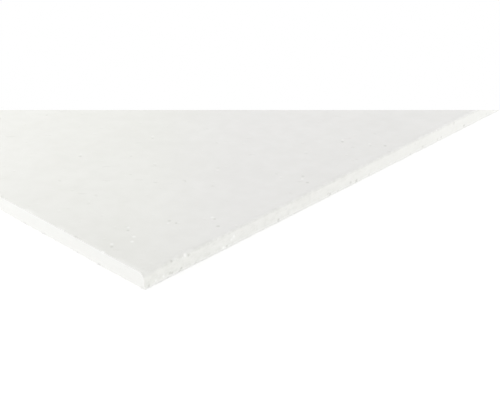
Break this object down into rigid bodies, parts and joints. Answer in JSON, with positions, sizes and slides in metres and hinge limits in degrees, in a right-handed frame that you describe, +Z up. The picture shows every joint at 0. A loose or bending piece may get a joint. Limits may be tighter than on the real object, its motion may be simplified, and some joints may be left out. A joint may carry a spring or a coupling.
{
  "type": "drywall sheet",
  "caption": "Flat gypsum drywall sheet with plain square-set long edges, their arrises slightly rounded, and square-cut ends.",
  "frame": {"origin": "centre of the back, the side that the sheet lies on", "axes": "+X across the sheet's width, +Y along its length, +Z up out of its face"},
  "size_m": [1.2, 2.4, 0.0125],
  "materials": {
    "board": "matte"
  },
  "bodies": {
    "root": {"drywall_sheet": "board"}
  },
  "joints": []
}
